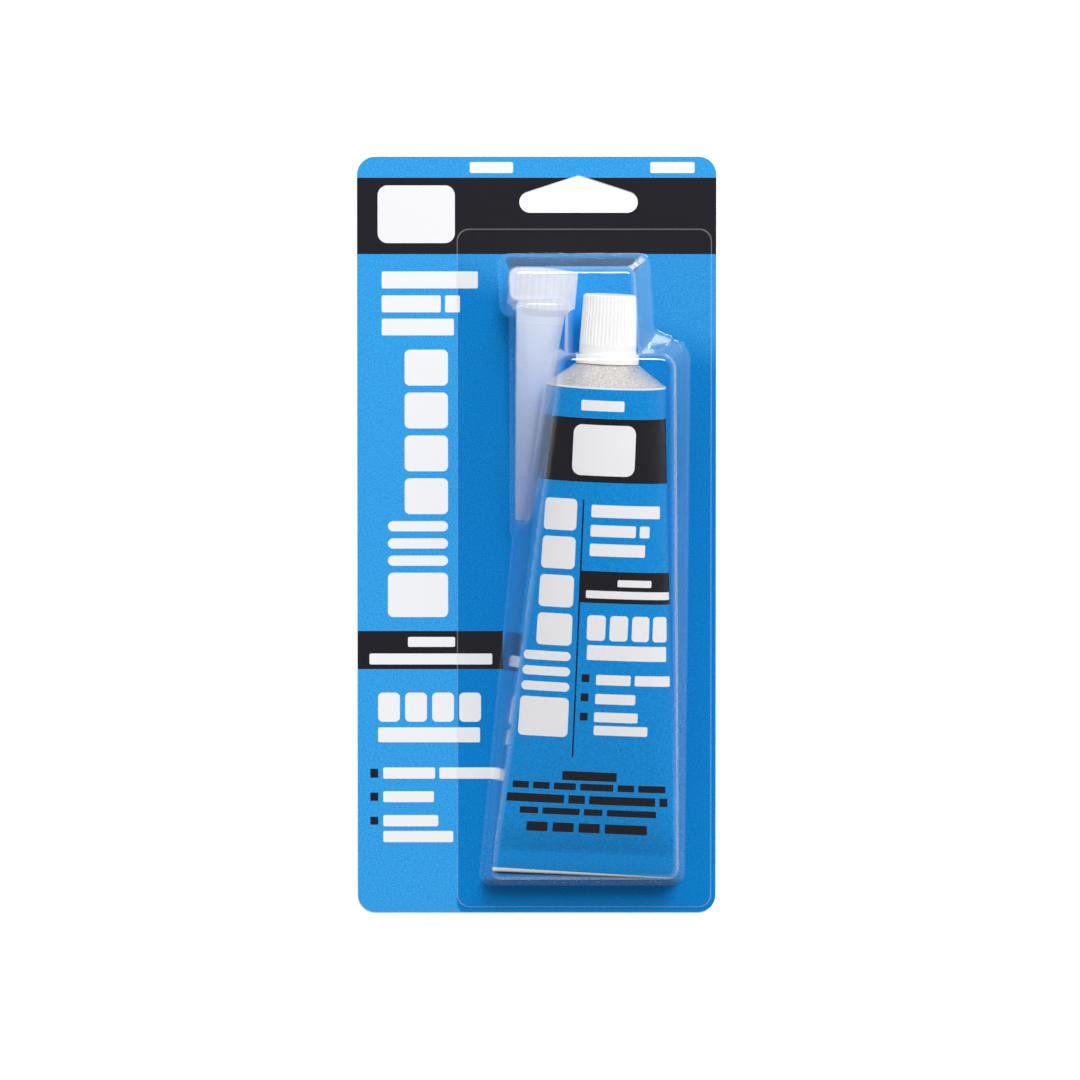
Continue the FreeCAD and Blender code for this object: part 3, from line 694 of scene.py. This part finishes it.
# The flange is lifted a hair off the card, so that the two faces don't share a plane
card_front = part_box("backing_card")[1].z
for vertex in film.data.vertices:
    vertex.co.z = max(vertex.co.z, card_front + FILM_OFF_CARD * MM)

# Floor, lamp, world and camera, in metres. The floor and the world look white by themselves
# and not from more light on the pack.
FLOOR_REACH = 3.0
FLOOR_HEIGHT = -0.0001
FLOOR_GLOW = 0.3
KEY_PLACE = (0.4, 1.05, 1.82)
KEY_SIZE = 0.84
KEY_POWER = 32.5
SIDE_LIGHT = 0.68
OVERHEAD_LIGHT = 0.03
LIGHT_FALLS_FROM_TO = (0.55, 0.98)
CAMERA_LENS = 166
CAMERA_SENSOR = 36
CAMERA_REACH = 20
CAMERA_DISTANCE = 1.5
CAMERA_TIP = math.radians(2)
CAMERA_AIM = (0.00099, -0.00139)


def floor_piece():
    """White floor just below the card, which takes the pack's shadow."""
    mesh = bpy.data.meshes.new("floor")
    low, high = -FLOOR_REACH, FLOOR_REACH
    corners = [(x, y, FLOOR_HEIGHT) for x, y in ((low, low), (high, low), (high, high), (low, high))]
    mesh.from_pydata(corners, [], [(0, 1, 2, 3)])
    graph = Graph("white_floor")
    graph.shader.inputs["Base Color"].default_value = (0.9, 0.9, 0.9, 1.0)
    graph.shader.inputs["Roughness"].default_value = 0.9
    graph.shader.inputs["Emission Color"].default_value = (1.0, 1.0, 1.0, 1.0)
    path = graph.tree.nodes.new("ShaderNodeLightPath").outputs
    mirrored = graph.math("MAXIMUM", path["Is Glossy Ray"], path["Is Transmission Ray"])
    seen = graph.math("MAXIMUM", path["Is Camera Ray"], mirrored)
    graph.set(graph.shader.inputs["Emission Strength"], graph.math("MULTIPLY", seen, FLOOR_GLOW))
    mesh.materials.append(graph.material)
    return new_object("floor", mesh)


floor_piece()


def key_lamp():
    """Soft lamp beyond the card's head, high up and a little to the right."""
    lamp = bpy.data.lights.new("key", "AREA")
    lamp.shape = "SQUARE"
    lamp.size = KEY_SIZE
    lamp.energy = KEY_POWER
    holder = new_object("key", lamp)
    holder.location = KEY_PLACE
    holder.rotation_euler = (-Vector(KEY_PLACE)).to_track_quat("-Z", "Y").to_euler()


def studio_world():
    """World that lights the pack from the sides more than from overhead."""
    world = bpy.data.worlds.new("studio")
    world.use_nodes = True
    sky = world.node_tree
    background = sky.nodes["Background"]
    direction = sky.nodes.new("ShaderNodeTexCoord").outputs["Generated"]
    upwards = sky.nodes.new("ShaderNodeSeparateXYZ")
    sky.links.new(direction, upwards.inputs[0])
    level = sky.nodes.new("ShaderNodeMapRange")
    level.inputs["From Min"].default_value = LIGHT_FALLS_FROM_TO[0]
    level.inputs["From Max"].default_value = LIGHT_FALLS_FROM_TO[1]
    level.inputs["To Min"].default_value = SIDE_LIGHT
    level.inputs["To Max"].default_value = OVERHEAD_LIGHT
    sky.links.new(upwards.outputs["Z"], level.inputs["Value"])
    path = sky.nodes.new("ShaderNodeLightPath").outputs
    strength = level.outputs["Result"]
    for ray in ("Is Camera Ray", "Is Transmission Ray"):
        brighter = sky.nodes.new("ShaderNodeMath")
        brighter.operation = "MAXIMUM"
        sky.links.new(strength, brighter.inputs[0])
        sky.links.new(path[ray], brighter.inputs[1])
        strength = brighter.outputs[0]
    sky.links.new(strength, background.inputs["Strength"])
    background.inputs["Color"].default_value = (1.0, 1.0, 1.0, 1.0)
    return world


def front_camera():
    """Long lens above the card, tipped a little towards its head."""
    lens = bpy.data.cameras.new("camera")
    lens.lens = CAMERA_LENS
    lens.sensor_width = CAMERA_SENSOR
    lens.clip_end = CAMERA_REACH
    camera = new_object("camera", lens)
    aim_x, aim_y = CAMERA_AIM
    forward = CAMERA_DISTANCE * math.sin(CAMERA_TIP)
    camera.location = (aim_x, aim_y + forward, CAMERA_DISTANCE * math.cos(CAMERA_TIP))
    camera.rotation_euler = (-CAMERA_TIP, 0, 0)
    return camera


key_lamp()
bpy.context.scene.world = studio_world()
bpy.context.scene.camera = front_camera()
bpy.context.scene.view_settings.view_transform = "Standard"
